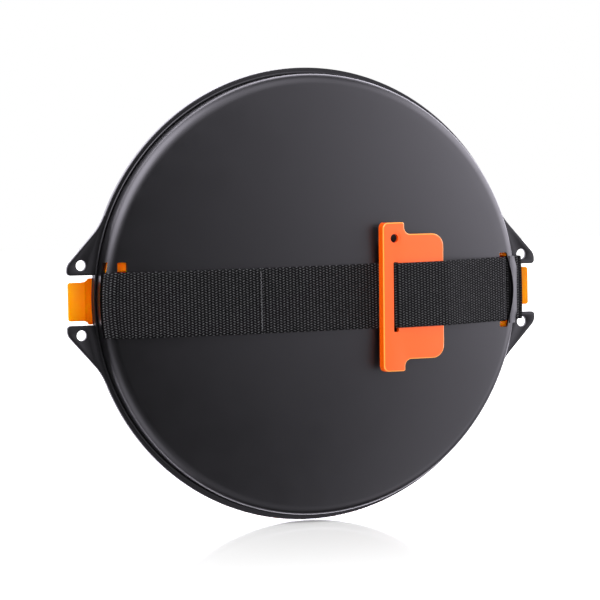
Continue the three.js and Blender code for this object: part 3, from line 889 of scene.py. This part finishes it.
platePiece = makePlate()
plateFacing = (math.sin(plateAngle), -math.cos(plateAngle), 0)
# painted highlight along the slide plate's rounded edges
paintEdgeHighlight(plateFinish, plateFacing, colour=(1.0, 0.42, 0.06), share=0.9)
finishPiece(platePiece, plateFinish, "slider", ["strap_slider"], 40)
print("plate made")


# Webbing
def onDome(arc, lift):
    angle = arc / domeRadius
    radius = domeRadius + lift
    return (radius * math.sin(angle), domeRadius - radius * math.cos(angle))


def alongDome(start, end, lift, steps):
    return [onDome(start + (end - start) * i / steps, lift) for i in range(steps + 1)]


def onPlate(x, lift):
    point = Matrix.Rotation(plateAngle, 2) @ Vector((x, -lift - domeRadius))
    return (point.x, point.y + domeRadius)


def withBends(corners, radius, steps):
    points = [corners[0]]
    for i in range(1, len(corners) - 1):
        here = Vector(corners[i])
        back = (Vector(corners[i - 1]) - here).normalized()
        ahead = (Vector(corners[i + 1]) - here).normalized()
        half = math.acos(max(-1, min(1, back.dot(ahead)))) / 2
        if half > 1.5:
            points.append(corners[i])
            continue
        middle = here + (back + ahead).normalized() * (radius / math.sin(half))
        first = here + back * (radius / math.tan(half)) - middle
        last = here + ahead * (radius / math.tan(half)) - middle
        start = math.atan2(first.y, first.x)
        turn = math.atan2(last.y, last.x) - start
        turn = (turn + math.pi) % (2 * math.pi) - math.pi
        points += arcPath(middle, radius, start, start + turn, steps)
    return points + [corners[-1]]


def strapSection():
    # a flat band with rounded selvedges
    half = web["width"] / 2
    thick = web["thickness"] / 2
    upper = []
    steps = 24
    for i in range(steps + 1):
        across = -half + web["selvedge"] + (web["width"] - 2 * web["selvedge"]) * i / steps
        upper.append((across, thick))
    turned = half - web["selvedgeEdge"]
    right = [(turned, thick * 0.6), (half, 0), (turned, -thick * 0.6)]
    lower = [(x, -y) for x, y in reversed(upper)]
    left = [(-x, -y) for x, y in right]
    return upper + right + lower + left


def tiltStrap():
    turn = Matrix.Rotation(-math.radians(web["tilt"]), 4, "Y")
    return Matrix.Translation((0, 0, -web["drop"])) @ turn


def eased(value, start, end):
    share = min(1, max(0, (value - start) / (end - start)))
    return share * share * (3 - 2 * share)


def pulled(x, z):
    # where the strap goes over the round shoulder it takes its curve, and the hem bulges a little
    if x < 0:
        turned = -math.sqrt(x * x - min(z * z, x * x))
        return x + (turned - x) * eased(-x, *web["wrapEase"])
    bulge = web["hemBulge"] * math.cos(math.pi / 2 * z / slots["half"])
    return x + bulge * eased(x, *web["hemEase"])


def sweepStrap(name, route):
    bm = bmesh.new()
    acrossLayer = bm.verts.layers.float.new("across")
    alongLayer = bm.verts.layers.float.new("along")
    section = strapSection()
    made = []
    for across, lift in section:
        vert = bm.verts.new((0, lift, across))
        vert[acrossLayer] = across
        made.append(vert)
    cap = bm.faces.new(made)
    edges = list(cap.edges)
    travelled = 0
    placed = Matrix.Identity(4)
    verts = made
    for i, point in enumerate(route):
        before = Vector(route[max(0, i - 1)])
        after = Vector(route[min(len(route) - 1, i + 1)])
        heading = (after - before).normalized()
        angle = math.atan2(heading.y, heading.x)
        place = Matrix.Translation((point[0], point[1], 0)) @ Matrix.Rotation(angle, 4, "Z")
        if i:
            travelled += (Vector(point) - Vector(route[i - 1])).length
            grown = bmesh.ops.extrude_edge_only(bm, edges=edges)
            verts = [item for item in grown["geom"] if isinstance(item, bmesh.types.BMVert)]
            edges = [item for item in grown["geom"] if isinstance(item, bmesh.types.BMEdge)]
        bmesh.ops.transform(bm, matrix=place @ placed.inverted(), verts=verts)
        placed = place
        for vert in verts:
            vert[alongLayer] = travelled
    bmesh.ops.contextual_create(bm, geom=edges)
    uv = bm.loops.layers.uv.new("strap")
    for face in bm.faces:
        for loop in face.loops:
            loop[uv].uv = (loop.vert[acrossLayer] * mm, loop.vert[alongLayer] * mm)
    bmesh.ops.recalc_face_normals(bm, faces=bm.faces)
    for vert in bm.verts:
        vert.co.x = pulled(vert.co.x, vert.co.z)
    thing = newThing(name, bm)
    mesh = thing.data
    mesh.transform(tiltStrap())
    rest = mesh.uv_layers.new(name="rest")
    for loop in mesh.loops:
        rest.uv[loop.index].vector = (mesh.vertices[loop.vertex_index].co.x * mm, 0)
    return thing


slotArc = math.asin(slots["inner"] / domeRadius) * domeRadius
slotEdge = onDome(slotArc, 0)
slotDive = slots["inner"] + firstLift
sideExit = slots["sideTop"] + firstLift


def leftRoute():
    wrapRadius = shell["shoulderRadius"] + firstLift
    lap = alongDome(-web["lapEnd"], 4 - slotArc, lapLift, 40)
    wrap = arcPath((-shoulderX, shoulderY), wrapRadius, 1.49 * math.pi, 1.17 * math.pi, 20)
    behind = [
        (1 - shell["wallRadius"], sideExit + 0.5),
        (-slotDive - web["bend"] - 0.4, sideExit + 0.5),
        (-slotDive - 0.2, sideExit - web["bend"]),
    ]
    over = arcPath(slotEdge, firstLift, slotArc / domeRadius - math.pi / 2, 0, 8)
    turn = [(-x, y) for x, y in reversed(over)]
    run = alongDome(1 - slotArc, -web["lapEnd"], firstLift, 36)
    return lap + wrap + behind + turn + run


def plateRoute():
    start = -plate["width"] / 2 - plate["bendRun"]
    middle = plate["slotX"] + plate["slotWidth"] / 2 - plate["width"] / 2
    return withBends([
        onPlate(start, firstLift - start ** 2 / (2 * domeRadius)),
        onPlate(middle, firstLift),
        onPlate(middle, overPlate),
        onPlate(plate["width"] / 2 + 1, overPlate),
    ], web["bend"], 10)


runStart = onPlate(plate["width"] / 2 + 1.5, overPlate)
diveX = slots["inner"] + web["diveInset"]
divePoint = (diveX, slotEdge[1] - firstLift + web["diveInset"] * web["diveSlope"])


def rightRoute():
    # a straight run that sags a little, a wide turn into the back slot, then out to the hem
    steps = 24
    run = []
    for i in range(1, steps - 1):
        share = i / steps
        sag = web["runSag"] * math.sin(math.pi * share)
        run.append((runStart[0] + (divePoint[0] - runStart[0]) * share,
                    runStart[1] + (divePoint[1] - runStart[1]) * share + sag))
    halfway = (diveX, (divePoint[1] + sideExit) / 2)
    dive = withBends([run[-1], divePoint, halfway], web["diveRadius"], 12)[1:]
    hemX = shell["wallRadius"] + web["hemStandoff"] + web["thickness"] / 2
    foldX = hemX + web["thickness"] + web["gap"]
    foldEnd = sideExit + 1.2 + web["hemHeight"]
    behind = withBends([
        dive[-1],
        (diveX, sideExit + 0.6),
        (hemX, sideExit + 1.2),
        (hemX, foldEnd),
    ], web["bend"], 8)[1:-1]
    fold = arcPath(((hemX + foldX) / 2, foldEnd), (foldX - hemX) / 2, math.pi, 0, 12)
    return run + dive + behind + fold + [(foldX, sideExit + 2)]


def makeStrap():
    bend = plateRoute()
    half = len(bend) // 2
    plateArc = plateAngle * domeRadius - plate["width"] / 2 - plate["bendRun"]
    run = alongDome(-web["lapEnd"] + 2, plateArc - 1, firstLift, 40)
    left = sweepStrap("strapLeft", leftRoute() + run + bend[:half])
    right = sweepStrap("strapRight", bend[half - 1:] + rightRoute())
    finishPiece(left, webFinish, None, ["strap_loop", "strap_left_run"], 50)
    rightNodes = ["strap_bend", "strap_right_run", "strap_hem"]
    finishPiece(right, webFinish, None, rightNodes, 50)
    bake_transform(left)
    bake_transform(right)


makeStrap()
print("strap made")

# Thread
thread = {
    "width": 0.62,
    "margin": 2.2,
    "zigzagPitch": 1.2,
    "zigzagSwing": 0.5,
    "lapInset": 0.9,
    "sunk": 0.1,
    "raised": 0.28,
    "stitch": 3.6,
}


def makeThread(name, points, node):
    curve = bpy.data.curves.new(name, "CURVE")
    curve.dimensions = "3D"
    curve.bevel_depth = thread["width"] / 2
    curve.bevel_resolution = 2
    curve.use_fill_caps = True
    line = curve.splines.new("POLY")
    line.points.add(len(points) - 1)
    for point, place in zip(line.points, points):
        point.co = (*place, 1)
    thing = bpy.data.objects.new(name, curve)
    bpy.context.scene.collection.objects.link(thing)
    graph = bpy.context.evaluated_depsgraph_get()
    mesh = bpy.data.meshes.new_from_object(thing.evaluated_get(graph))
    bpy.data.objects.remove(thing)
    made = bpy.data.objects.new(name, mesh)
    bpy.context.scene.collection.objects.link(made)
    made.data.transform(tiltStrap())
    finishPiece(made, threadFinish, "tray", [node], 60)


def lapThread():
    count = int((web["width"] - 2 * thread["margin"]) / thread["zigzagPitch"])
    arc = -web["lapEnd"] - thread["lapInset"]
    points = []
    for i in range(count + 1):
        height = (i - count / 2) * thread["zigzagPitch"]
        swing = (1 if i % 2 else -1) * thread["zigzagSwing"] / 2
        low = onDome(arc + swing, lapLift + web["thickness"] / 2 - thread["sunk"])
        points.append((low[0], low[1], height))
        if i < count:
            high = onDome(arc, lapLift + web["thickness"] / 2 + thread["raised"])
            points.append((high[0], high[1], height + thread["zigzagPitch"] / 2))
    makeThread("lapThread", points, "lap_stitching")


def hemThread():
    count = int((web["width"] - 2 * thread["margin"]) / thread["stitch"]) + 1
    face = shell["wallRadius"] + web["hemStandoff"] + 2 * web["thickness"] + web["gap"]
    points = []
    for i in range(count):
        middle = (i - (count - 1) / 2) * thread["stitch"]
        for share, rise in ((-0.5, -0.2), (-0.36, 0.2), (0, 0.3), (0.36, 0.2)):
            height = middle + share * thread["stitch"]
            points.append((pulled(face + rise, height), sideExit + web["hemHeight"] / 2, height))
    makeThread("hemThread", points, "hem_stitching")


lapThread()
hemThread()
print("threads made")

# Floor, light and camera
room = {
    "floor": -0.1339,
    "white": 1.0,
    "fill": 0.5,
    "tint": (1.0, 0.96, 1.09),
    "floorSize": 4,
    "floorGlow": 0.26,
    "farGlow": 1.0,
    "glowRange": (0.2, 1.0),
    "mirror": 0.35,
    "mirrorRange": (0.62, 0.0),
    "mirrorRoughness": 0.06,
}
view = {
    "azimuth": -20.498,
    "elevation": 3.011,
    "roll": -0.619,
    "distance": 2.3139,
    "aim": (-0.00301, 0.03449, -0.00357),
    "lens": 234.94,
}

# what the gloss finds: direction round from the front, height in degrees, spread, strength
windows = {
    "right": (82, 18, 42, 5.8),
    "rightLow": (62, -28, 36, 2.2),
    "rightFront": (46, 20, 34, 1.7),
    "front": (18, 2, 32, 1.0),
    "upperLeft": (-96, 43, 43, 8.2),
    "lowerLeft": (-104, -44, 34, 2.2),
    "leftFront": (-60, 38, 36, 0.8),
    "leftLow": (-62, -42, 34, 0.3),
    "above": (0, 65, 41, 3.0),
    "below": (0, -65, 40, 0.9),
    "behind": (165, 5, 60, 4.5),
}

# place, size and power of each lamp; all of them aim at the tray
lamps = {
    "rightSoftbox": ((1.5, -0.35, 0.5), (0.9, 1.4), 14),
    "topSoftbox": ((-0.1, -0.4, 1.5), (1.4, 0.8), 12),
    "leftSoftbox": ((-1.3, -0.5, 0.4), (0.5, 1.2), 7),
    "frontFill": ((-0.9, -2.0, 0.6), (0.8, 0.8), 12),
    "backFill": ((1.1, 1.3, 0.8), (0.8, 0.8), 9),
}


def pointing(azimuth, elevation):
    # a direction, with the azimuth counted from the front
    level = math.cos(elevation)
    return (math.sin(azimuth) * level, -math.cos(azimuth) * level, math.sin(elevation))


def cameraRays(tree):
    # 1 for the rays that show the white ground to the camera, also through something clear
    path = tree.nodes.new("ShaderNodeLightPath")
    seen = calc(tree, "MAXIMUM", path.outputs["Is Camera Ray"], path.outputs["Is Transmission Ray"])
    return seen, path.outputs["Is Glossy Ray"]


def makeWorld():
    world = bpy.data.worlds.new("studio")
    bpy.context.scene.world = world
    world.use_nodes = True
    tree = world.node_tree
    ground = tree.nodes["Background"]
    seen, gloss = cameraRays(tree)
    # a gloss finds a dark room with soft windows
    place = tree.nodes.new("ShaderNodeTexCoord")
    studio = None
    for turn, height, width, strength in windows.values():
        turn, height, width = math.radians(turn), math.radians(height), math.radians(width)
        near = alongDirection(tree, place.outputs["Generated"], pointing(turn, height))
        window = easedRange(tree, near, math.cos(width), 1, strength)
        studio = calc(tree, "ADD", window, studio) if studio else window
    shiny = calc(tree, "MULTIPLY", gloss, studio)
    other = calc(tree, "SUBTRACT", 1.0, calc(tree, "MAXIMUM", seen, gloss))
    plain = calc(tree, "MULTIPLY", other, room["fill"])
    white = calc(tree, "MULTIPLY", seen, room["white"])
    strength = calc(tree, "ADD", calc(tree, "ADD", shiny, plain), white)
    tree.links.new(strength, ground.inputs["Strength"])
    tree.links.new(blendColours(tree, gloss, (1, 1, 1), room["tint"]), ground.inputs["Color"])


def makeFloor():
    # white, with a faint mirror image of the tray that fades away from it
    bm = bmesh.new()
    bmesh.ops.create_grid(bm, x_segments=1, y_segments=1, size=room["floorSize"])
    bmesh.ops.translate(bm, verts=bm.verts, vec=(0, 0, room["floor"]))
    floor = newThing("floor", bm)
    material, tree, shader = newMaterial("whiteFloor", (0.9, 0.9, 0.9), 0.9)
    shader.inputs["Specular IOR Level"].default_value = 0
    seen = cameraRays(tree)[0]
    place = tree.nodes.new("ShaderNodeTexCoord")
    away = tree.nodes.new("ShaderNodeVectorMath")
    away.operation = "DISTANCE"
    away.inputs[1].default_value = (0, 0, room["floor"])
    tree.links.new(place.outputs["Object"], away.inputs[0])
    far = easedRange(tree, away.outputs["Value"], *room["glowRange"], room["farGlow"])
    glow = tree.nodes.new("ShaderNodeEmission")
    shine = calc(tree, "MULTIPLY", seen, calc(tree, "ADD", far, room["floorGlow"]))
    tree.links.new(shine, glow.inputs["Strength"])
    white = tree.nodes.new("ShaderNodeAddShader")
    tree.links.new(shader.outputs[0], white.inputs[0])
    tree.links.new(glow.outputs[0], white.inputs[1])
    mirror = tree.nodes.new("ShaderNodeBsdfGlossy")
    mirror.inputs["Roughness"].default_value = room["mirrorRoughness"]
    mirror.inputs["Color"].default_value = (1, 1, 1, 1)
    fade = easedRange(tree, away.outputs["Value"], *room["mirrorRange"], room["mirror"])
    both = tree.nodes.new("ShaderNodeMixShader")
    tree.links.new(calc(tree, "MULTIPLY", fade, seen), both.inputs["Fac"])
    tree.links.new(white.outputs[0], both.inputs[1])
    tree.links.new(mirror.outputs[0], both.inputs[2])
    tree.links.new(both.outputs[0], tree.nodes["Material Output"].inputs["Surface"])
    floor.data.materials.append(material)
    floor.visible_glossy = False


def addLamp(name, place, size, power):
    lamp = bpy.data.lights.new(name, "AREA")
    lamp.shape = "RECTANGLE"
    lamp.size, lamp.size_y = size
    lamp.energy = power
    thing = bpy.data.objects.new(name, lamp)
    bpy.context.scene.collection.objects.link(thing)
    thing.visible_glossy = False
    thing.visible_camera = False
    thing.visible_transmission = False
    thing.location = place
    thing.rotation_mode = "QUATERNION"
    thing.rotation_quaternion = (-Vector(place)).to_track_quat("-Z", "Y")


def makeCamera():
    back = Vector(pointing(math.radians(view["azimuth"]), math.radians(view["elevation"])))
    camera = bpy.data.cameras.new("camera")
    camera.lens = view["lens"]
    camera.sensor_width = 36
    thing = bpy.data.objects.new("camera", camera)
    bpy.context.scene.collection.objects.link(thing)
    thing.rotation_mode = "QUATERNION"
    turn = Matrix.Rotation(math.radians(view["roll"]), 4, "Z")
    facing = (-back).to_track_quat("-Z", "Y").to_matrix().to_4x4()
    thing.rotation_quaternion = (facing @ turn).to_quaternion()
    thing.location = Vector(view["aim"]) + back * view["distance"]
    bpy.context.scene.camera = thing


makeWorld()
makeFloor()
for name, (place, size, power) in lamps.items():
    addLamp(name, place, size, power)
makeCamera()
bpy.context.scene.view_settings.view_transform = "Standard"
print("studio ready")
